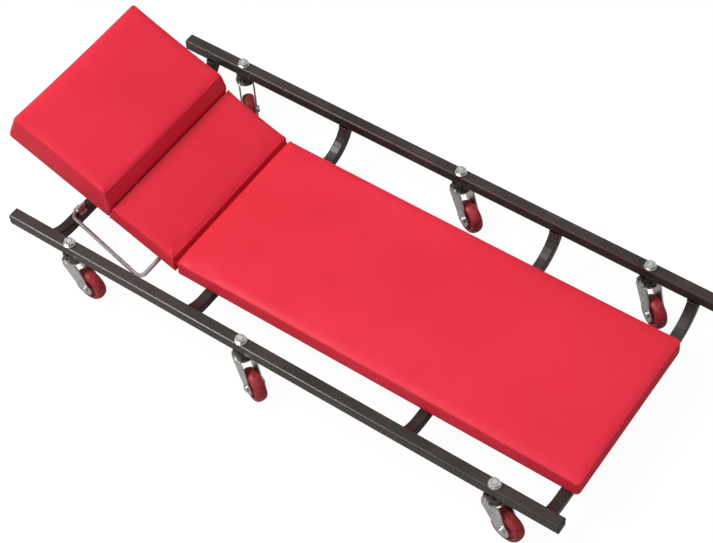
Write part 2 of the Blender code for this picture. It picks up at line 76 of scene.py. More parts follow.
back = Vector((math.sin(AROUND) * math.cos(ABOVE), -math.cos(AROUND) * math.cos(ABOVE), math.sin(ABOVE)))
level = Vector((math.cos(AROUND), math.sin(AROUND), 0))
upright = back.cross(level)
right = level * math.cos(ROLL) + upright * math.sin(ROLL)
up = upright * math.cos(ROLL) - level * math.sin(ROLL)
camera = bpy.data.objects.new("camera", bpy.data.cameras.new("camera"))
scene.collection.objects.link(camera)
camera.matrix_world = Matrix((right, up, back)).transposed().to_4x4()
camera.matrix_world.translation = EYE
camera.data.sensor_fit = "HORIZONTAL"
camera.data.sensor_width = SENSOR
camera.data.lens = FOCAL_PIXELS / PICTURE_WIDTH * SENSOR
camera.data.clip_end = 60
scene.camera = camera
scene.view_settings.view_transform = "Standard"
print("lens", round(camera.data.lens, 2), "mm at", [round(c, 3) for c in EYE])

# %% [markdown]
# Materials here are small node graphs, so a few helpers keep them readable.
# One adds a node and sets it up, the next joins an output to an input by name.
# Every pattern reads Object coordinates: a piece has its place in its mesh, so one
# metre in the pattern is one metre on the creeper and grain has its real size.

# %% Helpers for node graphs
def add_node(tree, kind, values=(), **settings):
    """Adds a node, sets its properties, then its input sockets."""
    made = tree.nodes.new(kind)
    for name, value in settings.items():
        setattr(made, name, value)
    for name, value in dict(values).items():
        made.inputs[name].default_value = value
    return made


def join(tree, source, output, target, socket):
    """Links one node's output to another node's input."""
    tree.links.new(source.outputs[output], target.inputs[socket])


def new_finish(name, **shader_values):
    """A Principled material with its plain values set, and its Object coordinates."""
    material = bpy.data.materials.new(name)
    material.use_nodes = True
    tree = material.node_tree
    shader = tree.nodes["Principled BSDF"]
    for socket, value in shader_values.items():
        shader.inputs[socket.replace("_", " ")].default_value = value
    place = add_node(tree, "ShaderNodeTexCoord")
    return material, tree, shader, place


print("helpers ready")

# %% [markdown]
# Most finishes need the same things: a pattern at a given size, a colour that drifts
# between two tones with it, and a bump that gives the light something to catch.
# A stretch turns round specks into brushed or drawn lines. Noise seldom leaves the
# middle of its range, so a drive by noise spreads that middle over the whole way.

# %% Helpers for patterns
NOISE_LOW, NOISE_HIGH = 0.3, 0.7


def speckle(tree, place, per_metre, detail=2.0, stretch=None):
    """Noise with about that many spots to the metre, drawn out where a stretch is given."""
    noise = add_node(tree, "ShaderNodeTexNoise", {"Scale": per_metre, "Detail": detail})
    source = place
    output = "Object"
    if stretch:
        source = add_node(tree, "ShaderNodeMapping", {"Scale": stretch})
        join(tree, place, "Object", source, "Vector")
        output = "Vector"
    join(tree, source, output, noise, "Vector")
    return noise


def two_tones(tree, pattern, output, dark, light, start=0.35, end=0.65):
    """A colour that goes from dark to light as the pattern rises."""
    ramp = add_node(tree, "ShaderNodeValToRGB")
    ramp.color_ramp.elements[0].position = start
    ramp.color_ramp.elements[0].color = (*dark, 1)
    ramp.color_ramp.elements[1].position = end
    ramp.color_ramp.elements[1].color = (*light, 1)
    join(tree, pattern, output, ramp, "Fac")
    return ramp


def between(tree, pattern, output, low, high, shader, socket):
    """Drives a shader value between two numbers with a pattern."""
    limits = {"From Min": NOISE_LOW, "From Max": NOISE_HIGH, "To Min": low, "To Max": high}
    spread = add_node(tree, "ShaderNodeMapRange", limits)
    join(tree, pattern, output, spread, "Value")
    join(tree, spread, "Result", shader, socket)


def raise_bump(tree, pattern, output, depth, strength, shader, after=None):
    """Adds a bump of that depth in metres, on top of an earlier bump if one is given."""
    bump = add_node(tree, "ShaderNodeBump", {"Distance": depth, "Strength": strength})
    join(tree, pattern, output, bump, "Height")
    if after:
        join(tree, after, "Normal", bump, "Normal")
    join(tree, bump, "Normal", shader, "Normal")
    return bump


print("pattern helpers ready")

# %% [markdown]
# Some finishes lay one colour over another. The Mix node has sockets for numbers, vectors
# and colours under the same names, so its colour sockets are picked by their place.

# %% Helper for layered colours
MIX_A, MIX_B, MIX_RESULT = 6, 7, 2


def layer_colours(tree, blend_type, first, second, shader):
    """Combines two colours in full and hands the result to the shader."""
    mix = add_node(tree, "ShaderNodeMix", {"Factor": 1.0}, data_type="RGBA", blend_type=blend_type)
    join(tree, first, "Color", mix, MIX_A)
    join(tree, second, "Color", mix, MIX_B)
    join(tree, mix, MIX_RESULT, shader, "Base Color")


print("layer helper ready")

# %% [markdown]
# The cover is red vinyl with an embossed leather grain: pebbles about a millimetre
# across with fine valleys between them. Voronoi cells make good pebbles, because their
# distance to the border falls to zero along the valleys. The valleys are painted a darker
# red as shade, and a slow drift in tone and gloss keeps the large flat areas from looking printed.

# %% Red vinyl
def red_vinyl():
    """Embossed red upholstery vinyl."""
    material, tree, shader, place = new_finish("vinyl_red", Specular_IOR_Level=0.22)
    drift = speckle(tree, place, 5.0, 3.0)
    tone = two_tones(tree, drift, "Fac", (0.780, 0.022, 0.046), (0.850, 0.030, 0.062))
    pebbles = add_node(tree, "ShaderNodeTexVoronoi", {"Scale": 780.0}, feature="DISTANCE_TO_EDGE")
    join(tree, place, "Object", pebbles, "Vector")
    # Painted shade: the grain's valleys are coloured a darker red.
    valley_shade = two_tones(tree, pebbles, "Distance", (0.86, 0.80, 0.80), (1, 1, 1), 0.0, 0.12)
    layer_colours(tree, "MULTIPLY", tone, valley_shade, shader)
    between(tree, speckle(tree, place, 22.0), "Fac", 0.42, 0.54, shader, "Roughness")
    soft = raise_bump(tree, speckle(tree, place, 38.0, 1.0), "Fac", 0.0012, 0.10, shader)
    raise_bump(tree, pebbles, "Distance", 0.0004, 0.32, shader, soft)
    return material


finishes = {"red_vinyl": red_vinyl()}
print("made", finishes["red_vinyl"].name)

# %% [markdown]
# The tube frame is powder coated: a baked black-brown skin with a slight orange peel,
# some dull patches where it has been handled, and fine scuffs along the tubes.
# The scuffs are noise drawn out along X, kept to its highest peaks by a tight ramp.

# %% Powder-coated steel
def powder_coat():
    """Semi-gloss black powder coat with orange peel and light scuffs."""
    material, tree, shader, place = new_finish("powder_coat_black", Specular_IOR_Level=0.42)
    patches = speckle(tree, place, 14.0, 4.0)
    tone = two_tones(tree, patches, "Fac", (0.028, 0.019, 0.016), (0.050, 0.035, 0.031))
    scuffs = speckle(tree, place, 60.0, 3.0, (0.25, 6.0, 6.0))
    worn = two_tones(tree, scuffs, "Fac", (0, 0, 0), (0.045, 0.040, 0.036), 0.66, 0.76)
    layer_colours(tree, "ADD", tone, worn, shader)
    between(tree, patches, "Fac", 0.25, 0.38, shader, "Roughness")
    raise_bump(tree, speckle(tree, place, 620.0, 1.0), "Fac", 0.0003, 0.22, shader)
    return material


finishes["black_coated_steel"] = powder_coat()
print("made", finishes["black_coated_steel"].name)

# %% [markdown]
# Forks, nuts, hinges and clips are zinc plated. Fresh zinc is a cool bright grey with
# a faint cloudiness, and it dulls in patches. It is a metal, so its colour is the colour
# of its reflections, and the clouds show mainly in the roughness.
# The swivel heads get a darker version, painted shade for their place under the rails. Their
# stems keep the plain bright zinc from a given height on, where the ends show lit in the nuts above the
# rails.

# %% Zinc plate, bright and painted dark as shade
PLAIN_ZINC = (0.80, 0.79, 0.77)


def plain_zinc_above(tree, place, height, tone):
    """The tone below a height, and plain bright zinc above it."""
    spot = add_node(tree, "ShaderNodeSeparateXYZ")
    join(tree, place, "Object", spot, "Vector")
    above = add_node(tree, "ShaderNodeMath", {1: height}, operation="GREATER_THAN")
    join(tree, spot, "Z", above, 0)
    mix = add_node(tree, "ShaderNodeMix", {MIX_B: (*PLAIN_ZINC, 1)}, data_type="RGBA")
    join(tree, above, "Value", mix, "Factor")
    join(tree, tone, "Color", mix, MIX_A)
    return mix


def zinc_plate(name, dull, bright, smooth, rough, plain_above=None):
    """Zinc plating with cloudy patches between two greys and two roughnesses."""
    material, tree, shader, place = new_finish(name, Metallic=1.0)
    clouds = speckle(tree, place, 95.0, 5.0)
    tone = two_tones(tree, clouds, "Fac", dull, bright)
    if plain_above is None:
        join(tree, tone, "Color", shader, "Base Color")
    else:
        join(tree, plain_zinc_above(tree, place, plain_above, tone), MIX_RESULT, shader, "Base Color")
    between(tree, clouds, "Fac", smooth, rough, shader, "Roughness")
    raise_bump(tree, speckle(tree, place, 900.0, 2.0), "Fac", 0.0001, 0.15, shader)
    return material


rail_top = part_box("rail_left")[1].z
finishes["zinc_plated_steel"] = zinc_plate("zinc_bright", (0.60, 0.59, 0.57), (0.82, 0.81, 0.79), 0.24, 0.40)
# The swivel heads' dark zinc is painted shade for their place under the rails; above the rail top their
# stems keep the plain bright zinc.
zinc_shaded_under_rail = zinc_plate("zinc_painted_shade", (0.060, 0.055, 0.048), (0.16, 0.15, 0.13), 0.30, 0.48, rail_top)
print("made", finishes["zinc_plated_steel"].name, zinc_shaded_under_rail.name)

# %% [markdown]
# The prop is a bent, drawn wire with a bright plating. Drawing leaves hair-fine lines
# along the wire. Noise that is drawn out along X follows its two legs, and on the short
# cross rod it only reads as a faint satin.

# %% Bright drawn wire
def drawn_wire():
    """Bright plated wire with fine drawing lines."""
    material, tree, shader, place = new_finish("wire_bright", Metallic=1.0)
    lines = speckle(tree, place, 1600.0, 3.0, (0.02, 1.0, 1.0))
    tone = two_tones(tree, lines, "Fac", (0.58, 0.57, 0.56), (0.72, 0.71, 0.70))
    join(tree, tone, "Color", shader, "Base Color")
    between(tree, lines, "Fac", 0.24, 0.34, shader, "Roughness")
    raise_bump(tree, lines, "Fac", 0.0001, 0.12, shader)
    return material


finishes["bright_wire"] = drawn_wire()
print("made", finishes["bright_wire"].name)

# %% [markdown]
# The wheels are moulded in a hard dark red rubber. Floor dust greys the surface in
# patches and the moulding leaves a fine matt texture, so both tone and roughness vary.

# %% Wheel rubber
def wheel_rubber():
    """Hard red rubber, matt and slightly dusty."""
    material, tree, shader, place = new_finish("rubber_red", Specular_IOR_Level=0.4)
    dust = speckle(tree, place, 120.0, 5.0)
    tone = two_tones(tree, dust, "Fac", (0.290, 0.016, 0.022), (0.450, 0.038, 0.046))
    join(tree, tone, "Color", shader, "Base Color")
    between(tree, dust, "Fac", 0.34, 0.55, shader, "Roughness")
    raise_bump(tree, speckle(tree, place, 1300.0, 2.0), "Fac", 0.0002, 0.18, shader)
    return material


finishes["red_wheel_rubber"] = wheel_rubber()
print("made", finishes["red_wheel_rubber"].name)

# %% [markdown]
# The tube ends are closed by moulded black plugs with a spark-eroded, matt texture.
# The boards under the pads are raw plywood, seen only from below: long soft bands of
# grain along the creeper, with short dark pores across the tone.

# %% Moulded plastic and plywood
def moulded_plastic():
    """Matt black plastic with a fine moulded texture."""
    material, tree, shader, place = new_finish("plastic_black", Specular_IOR_Level=0.45)
    haze = speckle(tree, place, 80.0, 3.0)
    tone = two_tones(tree, haze, "Fac", (0.020, 0.019, 0.019), (0.036, 0.034, 0.033))
    join(tree, tone, "Color", shader, "Base Color")
    between(tree, haze, "Fac", 0.45, 0.60, shader, "Roughness")
    raise_bump(tree, speckle(tree, place, 1500.0, 1.0), "Fac", 0.0002, 0.25, shader)
    return material


def raw_plywood():
    """Raw birch-like plywood with lengthwise grain."""
    material, tree, shader, place = new_finish("plywood_raw", Specular_IOR_Level=0.3)
    grain = speckle(tree, place, 30.0, 6.0, (0.12, 2.2, 2.2))
    tone = two_tones(tree, grain, "Fac", (0.33, 0.20, 0.10), (0.56, 0.39, 0.23), 0.30, 0.70)
    join(tree, tone, "Color", shader, "Base Color")
    between(tree, grain, "Fac", 0.55, 0.72, shader, "Roughness")
    raise_bump(tree, speckle(tree, place, 420.0, 2.0, (0.08, 1.0, 1.0)), "Fac", 0.0003, 0.2, shader)
    return material


finishes["black_plastic"] = moulded_plastic()
finishes["plywood"] = raw_plywood()
print("made", finishes["black_plastic"].name, finishes["plywood"].name)

# %% [markdown]
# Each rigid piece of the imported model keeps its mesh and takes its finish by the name
# of its material slot. Only the swivel heads differ from their slot, as said above.

# %% Dress the rigid pieces
for name, piece in nodes.items():
    slot = piece.material_slots[0]
    finish = finishes[slot.material.name.split(".")[0]]
    # The swivel heads take the zinc painted dark as shade.
    if name.startswith("swivel_head"):
        finish = zinc_shaded_under_rail
    slot.material = finish
print("dressed", len(nodes), "pieces in", len(finishes), "finishes")

# %% [markdown]
# A new piece starts as a bmesh. The first helper turns it into a smooth object with its
# finish. The second also says which body of the creeper carries it and which finish
# slot it belongs to.

# %% Helpers for new pieces
def make_piece(name, shape, slot):
    """Makes an object from a bmesh, in its place, smooth and dressed."""
    mesh = bpy.data.meshes.new(name)
    shape.to_mesh(mesh)
    shape.free()
    for face in mesh.polygons:
        face.use_smooth = True
    piece = bpy.data.objects.new(name, mesh)
    scene.collection.objects.link(piece)
    mesh.materials.append(finishes[slot])
    return piece


def riding_piece(name, shape, slot, body):
    """Makes a piece that rides on one body of the creeper."""
    piece = make_piece(name, shape, slot)
    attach(piece, body)
    return piece


print("piece helpers ready")

# %% [markdown]
# The head panel is tilted about its hinge, so its pads are easiest to model lying flat
# in the panel's own frame. The tilt is read from the largest face of the head board,
# and a node's extent in that frame from its vertices turned back.

# %% Find the head panel's own frame
hinge = joints["head_tilt"]
board_face = max(nodes["head_board"].data.polygons, key=lambda face: face.area)
board_normal = board_face.normal if board_face.normal.z > 0 else -board_face.normal
tilt = math.atan2(board_normal.x, board_normal.z)
panel_frame = Matrix.Translation(hinge["pos_m"]) @ Matrix.Rotation(tilt, 4, "Y")


def extent(name, frame_matrix):
    """Lowest and highest corner of a node, seen in another frame."""
    flat = frame_matrix.inverted()
    points = [flat @ vertex.co for vertex in nodes[name].data.vertices]
    low = Vector(min(point[axis] for point in points) for axis in range(3))
    high = Vector(max(point[axis] for point in points) for axis in range(3))
    return low, high


print("head panel tilt", round(math.degrees(tilt), 2))

# %% [markdown]
# A pad is a foam block under a stretched cover, and three small tools shape its edges.
# One rounds edges, the next finds the edges at one height. The third is for an end
# where a pad meets its neighbour: there the rounding shrinks to a share of itself, so
# that the joint is tight.

# %% Helpers for rounded edges
CLOSE = 1e-5


def bevel_edges(shape, edges, offset, segments):
    """Rounds the given edges."""
    bmesh.ops.bevel(
        shape, geom=edges, offset=offset, segments=segments, profile=0.5, affect="EDGES", material=-1
    )


def edges_at(shape, height):
    """The edges that lie at one height."""
    return [edge for edge in shape.edges if all(abs(vert.co.z - height) < CLOSE for vert in edge.verts)]


def square_end(shape, low, high, end, corner, roll, share):
    """Shrinks the rounding at one end, where a pad meets its neighbour."""
    for vert in shape.verts:
        inside = vert.co.x - end
        below = high.z - vert.co.z
        from_side = min(vert.co.y - low.y, high.y - vert.co.y)
        near_side = abs(inside) < corner + CLOSE and from_side < corner + CLOSE
        near_top = abs(inside) < roll + CLOSE and below < roll + CLOSE
        if near_side:
            vert.co.y += math.copysign(from_side * (1 - share), vert.co.y - (low.y + high.y) / 2)
        if near_top:
            vert.co.z += below * (1 - share)
        if near_side or near_top:
            vert.co.x -= inside * (1 - share)


print("edge helpers ready")

# %% [markdown]
# The block starts as a cube sized to its place: bevels round the upright corners, roll
# the top edge and tuck in the hem. Straight cuts then give it an even net of squares,
# which the shaping needs.

# %% Helper for a foam block
CORNER, TOP_ROLL, HEM = 0.0075, 0.0040, 0.0016
ROUND_STEPS, HEM_STEPS = 4, 2
SQUARES = (0.0105, 0.0105, 0.011)


def foam_block(low, high, shares):
    """A closed block with round corners, a rolled top edge and a net of squares."""
    shape = bmesh.new()
    bmesh.ops.create_cube(shape, size=1.0)
    bmesh.ops.scale(shape, vec=high - low, verts=shape.verts)
    bmesh.ops.translate(shape, vec=(low + high) / 2, verts=shape.verts)
    uprights = [edge for edge in shape.edges if abs(edge.verts[0].co.z - edge.verts[1].co.z) > CLOSE]
    bevel_edges(shape, uprights, CORNER, ROUND_STEPS)
    bevel_edges(shape, edges_at(shape, high.z), TOP_ROLL, ROUND_STEPS)
    bevel_edges(shape, edges_at(shape, low.z), HEM, HEM_STEPS)
    for end, share in zip((low.x, high.x), shares):
        square_end(shape, low, high, end, CORNER, TOP_ROLL, share)
    for axis, square in enumerate(SQUARES):
        count = max(2, round((high[axis] - low[axis]) / square))
        for step in range(1, count):
            place = low.lerp(high, step / count)
            across = Vector(float(axis == other) for other in range(3))
            everything = shape.verts[:] + shape.edges[:] + shape.faces[:]
            bmesh.ops.bisect_plane(shape, geom=everything, dist=CLOSE, plane_co=place, plane_no=across)
    bmesh.ops.triangulate(shape, faces=[face for face in shape.faces if len(face.verts) > 4])
    return shape


print("foam helper ready")

# %% [markdown]
# Foam under a stretched cover is highest in the middle, and the cover's pull draws the
# sides in between the corners. Both are moves of the net: a fourth-power crown stays
# broad and flat like real foam, and a high odd power keeps the draw near the sides.
# Towards a joint with another pad the crown runs on level to the end.
# The neck pad's end leans back, so that the panel can rise without meeting the deck, and
# the headrest's step leans back above the neck pad, which gives its shaded slope.

# %% Helper for crown, draw and lean
DRAW = 0.0016
LEAN_REACH = 0.07
FREE_END = 0.9


def stretch_cover(shape, low, high, crown, shares, lean, lean_from):
    """Crowns the block, draws its free sides in and leans its foot end back above a height."""
    middle = (low + high) / 2
    half = (high - low) / 2
    for vert in shape.verts:
        along = (vert.co.x - middle.x) / half.x
        across = (vert.co.y - middle.y) / half.y
        rise = (vert.co.z - low.z) / (high.z - low.z)
        near_foot = max(0.0, 1 - (high.x - vert.co.x) / LEAN_REACH)
        leaning = max(0.0, vert.co.z - low.z - lean_from) / (high.z - low.z - lean_from)
        share = shares[0] if along < 0 else shares[1]
        free = max(0.0, (share - 0.5) * 2)
        swell = 1 - along**4 if share > FREE_END else 1.0
        vert.co.z += crown * rise * swell * (1 - across**4)
        vert.co.x -= DRAW * free * rise * along**7 * (1 - across**2) + lean * leaning * near_foot
        vert.co.y -= DRAW * rise * across**7 * (1 - along**2)


print("cover helper ready")

# %% [markdown]
# The last bit of fullness comes from a cloth simulation: the cover is a sheet with
# pressure inside, held where it is stapled under the board and at a tight joint. Twenty
# frames are enough for it to settle. How far a point may move is capped, sideways more
# tightly, so a firm pad stays a firm pad and keeps clear of its neighbours. The result
# is written into the mesh and the simulation is removed.

# %% Helper for the inflated cover
PRESSURE, SETTLING_FRAMES = 4.0, 20
STAPLED_HEIGHT, JOINT_DEPTH, TIGHT_JOINT = 0.012, 0.004, 0.2


def inflate(pad, low, high, shares, sideways, upwards):
    """Swells the cover by cloth pressure and keeps the capped result."""
    held = pad.vertex_groups.new(name="stapled")
    joints_at = [end for end, share in zip((low.x, high.x), shares) if share < TIGHT_JOINT]
    for vert in pad.data.vertices:
        at_joint = any(abs(vert.co.x - end) < JOINT_DEPTH for end in joints_at)
        if at_joint or vert.co.z < low.z + STAPLED_HEIGHT:
            held.add([vert.index], 1.0, "REPLACE")
    cloth = pad.modifiers.new("cover", "CLOTH")
    cloth.settings.use_pressure = True
    cloth.settings.uniform_pressure_force = PRESSURE
    cloth.settings.effector_weights.gravity = 0.0
    cloth.settings.vertex_group_mass = held.name
    for moment in range(1, SETTLING_FRAMES + 1):
        scene.frame_set(moment)
    swollen = pad.evaluated_get(bpy.context.evaluated_depsgraph_get())
    moves = [after.co - before.co for after, before in zip(swollen.data.vertices, pad.data.vertices)]
    pad.modifiers.remove(cloth)
    pad.vertex_groups.remove(held)
    scene.frame_set(1)
    for vert, move in zip(pad.data.vertices, moves):
        side = Vector((move.x, move.y, 0))
        vert.co += side * min(1.0, sideways / max(side.length, 1e-9))
        vert.co.z += max(-upwards, min(upwards, move.z))
    return max(move.length for move in moves)


print("inflation helper ready")

# %% [markdown]
# Three pads share these steps. Each is shaped and inflated lying flat, and turned into
# its place at the end, where one subdivision smooths the net. It replaces the plain solid
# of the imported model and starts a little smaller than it, because it swells.

# %% Helper that makes a pad
SWELL = 0.0012
SIDE_SWELL = SWELL * 0.8


def make_pad(name, node, body, place, crown, shares, lean=0.0, lean_from=0.0):
    """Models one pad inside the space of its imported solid."""
    low, high = extent(node, place)
    top = high.z - crown - SWELL
    low = Vector((low.x + SWELL * shares[0], low.y + SWELL, low.z))
    high = Vector((high.x - SWELL * shares[1], high.y - SWELL, top))
    shape = foam_block(low, high, shares)
    stretch_cover(shape, low, high, crown, shares, lean, lean_from)
    bmesh.ops.recalc_face_normals(shape, faces=shape.faces)
    pad = riding_piece(name, shape, "red_vinyl", body)
    moved = inflate(pad, low, high, shares, SIDE_SWELL, SWELL)
    pad.data.transform(place)
    smooth = pad.modifiers.new("smooth_cover", "SUBSURF")
    smooth.levels = 1
    smooth.render_levels = 1
    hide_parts(node)
    print(name, len(pad.data.vertices), "points, swelled up to", round(moved * 1000, 1), "mm")
    return pad, low, high


print("pad helper ready")

# %% [markdown]
# The deck pad lies level on the frame, the neck pad and the thick headrest pad lie on
# the tilted panel. The two shares of a pad are for its head end and its foot end: a share
# of 1 is a free, fully rounded end, and a small share is a tight joint. The headrest
# leans back only where it stands higher than the neck pad.

# %% Make the three pads
NECK_LEAN, STEP_LEAN = 0.0125, 0.020

level_frame = Matrix.Identity(4)
neck_low, neck_high = extent("neck_pad", panel_frame)
neck_height = neck_high.z - neck_low.z
deck, *deck_ends = make_pad(
    "cushion_deck", "deck_pad", "frame", level_frame, crown=0.0014, shares=(0.4, 1.0)
)
neck, *neck_ends = make_pad(
    "cushion_neck", "neck_pad", "head_panel", panel_frame, crown=0.0010, shares=(0.06, 0.4), lean=NECK_LEAN
)
headrest, *rest_ends = make_pad(
    "cushion_headrest", "headrest_pad", "head_panel", panel_frame, crown=0.0022, shares=(1.0, 0.5),
    lean=STEP_LEAN, lean_from=neck_height,
)

# %% [markdown]
# The cover's top and side panels meet in a narrow welt along the rolled edge, which
# catches the light as a fine line. Its path is a rectangle with round corners, just inside
# the pad's outline: a single square, scaled, bevelled at its corners and cut into short
# steps. Walking round the face from loop to loop gives the points in order.

# %% Helper for the path of a welt
WELT_INSET, WELT_DROP, WELT_CORNER, WELT_CORNER_STEPS = 0.0012, 0.0010, 0.007, 5
LONG_EDGE, LONG_EDGE_CUTS = 0.03, 40


def edge_path(low, high):
    """Points in order round a pad's top edge."""
    outline = bmesh.new()
    bmesh.ops.create_grid(outline, x_segments=1, y_segments=1, size=0.5)
    size = Vector((high.x - low.x - 2 * WELT_INSET, high.y - low.y - 2 * WELT_INSET, 1))
    middle = Vector(((low.x + high.x) / 2, (low.y + high.y) / 2, high.z - WELT_DROP))
    bmesh.ops.scale(outline, vec=size, verts=outline.verts)
    bmesh.ops.translate(outline, vec=middle, verts=outline.verts)
    bmesh.ops.bevel(
        outline, geom=outline.verts[:], offset=WELT_CORNER, segments=WELT_CORNER_STEPS, profile=0.5,
        affect="VERTICES", material=-1,
    )
    long_edges = [edge for edge in outline.edges if edge.calc_length() > LONG_EDGE]
    bmesh.ops.subdivide_edges(outline, edges=long_edges, cuts=LONG_EDGE_CUTS)
    loop = max(outline.faces, key=lambda face: len(face.verts)).loops[0]
    path = []
    for _ in range(len(outline.verts)):
        path.append(loop.vert.co.copy())
        loop = loop.link_loop_next
    outline.free()
    return path


print("path helper ready")

# %% [markdown]
# The path is pressed onto the finished pad by asking for the nearest point on its
# surface. A curve with a round bevel makes the bead, half sunk into the cover, and it is
# turned into a mesh before it joins the creeper. Where a start is given the welt is open,
# because it would pass under another pad.

# %% Helper for a welt
WELT_RADIUS, WELT_SUNK = 0.0009, 0.35


def welt(name, pad, body, low, high, place, lean=0.0, start=None):
    """A thin bead along a pad's top edge."""
    path = edge_path(low, high)
    if start is not None:
        corner = Vector((start, low.y, high.z))
        first = min(range(len(path)), key=lambda index: (path[index] - corner).length)
        path = [spot for spot in path[first:] + path[:first] if spot.x > start]
    bead = bpy.data.curves.new(name + "_path", "CURVE")
    bead.dimensions = "3D"
    bead.bevel_depth = WELT_RADIUS
    bead.bevel_resolution = 2
    bead.use_fill_caps = start is not None
    spline = bead.splines.new("POLY")
    spline.points.add(len(path) - 1)
    spline.use_cyclic_u = start is None
    for point, spot in zip(spline.points, path):
        spot.x -= lean * max(0.0, 1 - (high.x - spot.x) / LEAN_REACH)
        _, on_pad, normal, _ = pad.closest_point_on_mesh(place @ spot)
        point.co = (*(on_pad - normal * WELT_RADIUS * WELT_SUNK), 1)
    holder = bpy.data.objects.new(name + "_path", bead)
    scene.collection.objects.link(holder)
    bpy.context.view_layer.update()
    drawn = holder.evaluated_get(bpy.context.evaluated_depsgraph_get())
    shape = bmesh.new()
    shape.from_mesh(bpy.data.meshes.new_from_object(drawn))
    bpy.data.objects.remove(holder)
    print(name, len(path), "points along the edge")
    return riding_piece(name, shape, "red_vinyl", body)


print("welt helper ready")

# %% [markdown]
# Deck and headrest have a closed welt. The neck pad's begins and ends just outside the
# headrest, and the two leaning ends take their welts with them.

# %% Sew the welts
OUTSIDE_HEADREST = 0.006

welt("welt_deck", deck, "frame", *deck_ends, level_frame)
welt("welt_neck", neck, "head_panel", *neck_ends, panel_frame, NECK_LEAN, neck_ends[0].x + OUTSIDE_HEADREST)
welt("welt_headrest", headrest, "head_panel", *rest_ends, panel_frame, STEP_LEAN)

# %% [markdown]
# The cover runs on over the hinge: a slack strip of the same vinyl hangs in the crease
# between deck and neck pad, so that no gap shows. It rides on neither side. A grid gives it
# its net; each row is moved onto a hanging curve from the neck pad's end face to the deck's,
# and a thickness is added at the end.

# %% Hang the strip in the crease
STRIP_DEPTH, STRIP_SAG, STRIP_THICKNESS = 0.0095, 0.0045, 0.0008
SIDE_CLEARANCE, END_SHARE = 0.003, 0.03


def crease_strip():
    """A slack strip between the deck's head end and the neck pad's foot end."""
    deck_edge = Vector((deck_ends[0].x, 0, deck_ends[1].z - STRIP_DEPTH))
    lean_there = NECK_LEAN * (1 - STRIP_DEPTH / neck_height)
    neck_edge = panel_frame @ Vector((neck_ends[1].x - lean_there, 0, neck_ends[1].z - STRIP_DEPTH))
    neck_edge.y = 0
    half_width = (deck_ends[1].y - deck_ends[0].y) / 2 - SIDE_CLEARANCE
    middle = (deck_ends[1].y + deck_ends[0].y) / 2
    shape = bmesh.new()
    bmesh.ops.create_grid(shape, x_segments=10, y_segments=40, size=0.5)
    for vert in shape.verts:
        share = vert.co.x + 0.5
        spot = neck_edge.lerp(deck_edge, END_SHARE + (1 - 2 * END_SHARE) * share)
        sag = STRIP_SAG * math.sin(math.pi * share)
        vert.co = Vector((spot.x, middle + vert.co.y * 2 * half_width, spot.z - sag))
    bmesh.ops.recalc_face_normals(shape, faces=shape.faces)
    cut = (2 * half_width, sum(face.calc_area() for face in shape.faces) / (2 * half_width))
    bmesh.ops.solidify(shape, geom=shape.faces[:], thickness=STRIP_THICKNESS)
    strip = make_piece("crease_strip", shape, "red_vinyl")
    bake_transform(strip)
    return cut


print("crease strip was cut to", [round(side * 1000, 1) for side in crease_strip()], "mm")

# %% [markdown]
# A caster wheel is a turned shape: hub, thin web, rim and a round tread, which shows as
# a light band with dark sides. Its half outline is a few points and a quarter of an
# ellipse, and a full spin about the axle makes it round. The bore is read from the
# packed wheel, so the real axle still fits. Each hub point is given by how far it lies
# out from the bore and in from the wheel's face, each rim point in from tread and face.

# %% Turn the six wheels
HUB = ((0.0, 0.0), (0.0035, 0.0), (0.0044, 0.0008), (0.0048, 0.0042))
RIM = ((0.0110, 0.0042), (0.0098, 0.0030), (0.0092, 0.0006), (0.0080, 0.0))
TREAD_DROP, TREAD_POINTS, WHEEL_STEPS = 0.0062, 8, 56
SEAM = 1e-6


def spin_round(shape, axis, steps):
    """Spins an outline once round an axis through the origin and closes the seam."""
    outline = shape.verts[:] + shape.edges[:]
    turn = {"cent": (0, 0, 0), "axis": axis, "angle": math.tau, "steps": steps, "use_merge": True}
    bmesh.ops.spin(shape, geom=outline, dvec=(0, 0, 0), **turn)
    bmesh.ops.remove_doubles(shape, verts=shape.verts, dist=SEAM)


def turn_wheel(corner):
    """Turns one wheel about its axle and sets it in its fork."""
    roll = joints["roll_" + corner]
    axle = Vector(roll["axis"]).normalized()
    centre = Vector(roll["pos_m"])
    spots = [vertex.co - centre for vertex in nodes["wheel_" + corner].data.vertices]
    bore = min((spot - axle * spot.dot(axle)).length for spot in spots)
    outer = max((spot - axle * spot.dot(axle)).length for spot in spots)
    face = max(abs(spot.dot(axle)) for spot in spots)
    half = [(bore + out, face - inward) for out, inward in HUB]
    half += [(outer - below, face - inward) for below, inward in RIM]
    for step in range(TREAD_POINTS):
        lean = math.pi / 2 * (1 - step / (TREAD_POINTS - 1))
        half.append((outer - TREAD_DROP * (1 - math.cos(lean)), face * math.sin(lean)))
    ring = half + [(radius, -across) for radius, across in reversed(half[:-1])]
    shape = bmesh.new()
    verts = [shape.verts.new((radius, across, 0)) for radius, across in ring]
    for one, two in zip(verts, verts[1:] + verts[:1]):
        shape.edges.new((one, two))
    spin_round(shape, (0, 1, 0), WHEEL_STEPS)
    bmesh.ops.recalc_face_normals(shape, faces=shape.faces)
    heading = Matrix.Rotation(math.atan2(-axle.x, axle.y), 4, "Z")
    bmesh.ops.transform(shape, matrix=Matrix.Translation(centre) @ heading, verts=shape.verts)
    wheel = riding_piece("turned_wheel_" + corner, shape, "red_wheel_rubber", "caster_wheel_" + corner)
    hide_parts("wheel_" + corner)
    return bore, outer, face


corners = [name[len("roll_"):] for name in joints if name.startswith("roll_")]
sizes = [turn_wheel(corner) for corner in corners]
print("turned", len(sizes), "wheels: bore, radius, half width", [round(size * 1000, 2) for size in sizes[0]])

# %% [markdown]
# Each cross-member is welded under both rails. A weld bead is a rippled fillet round
# the square tube. Spinning a small circle gives a plain ring; moving its points out to a
# round-cornered square and swelling them in waves gives the laid bead. The power of the
# corners says how square the ring becomes.

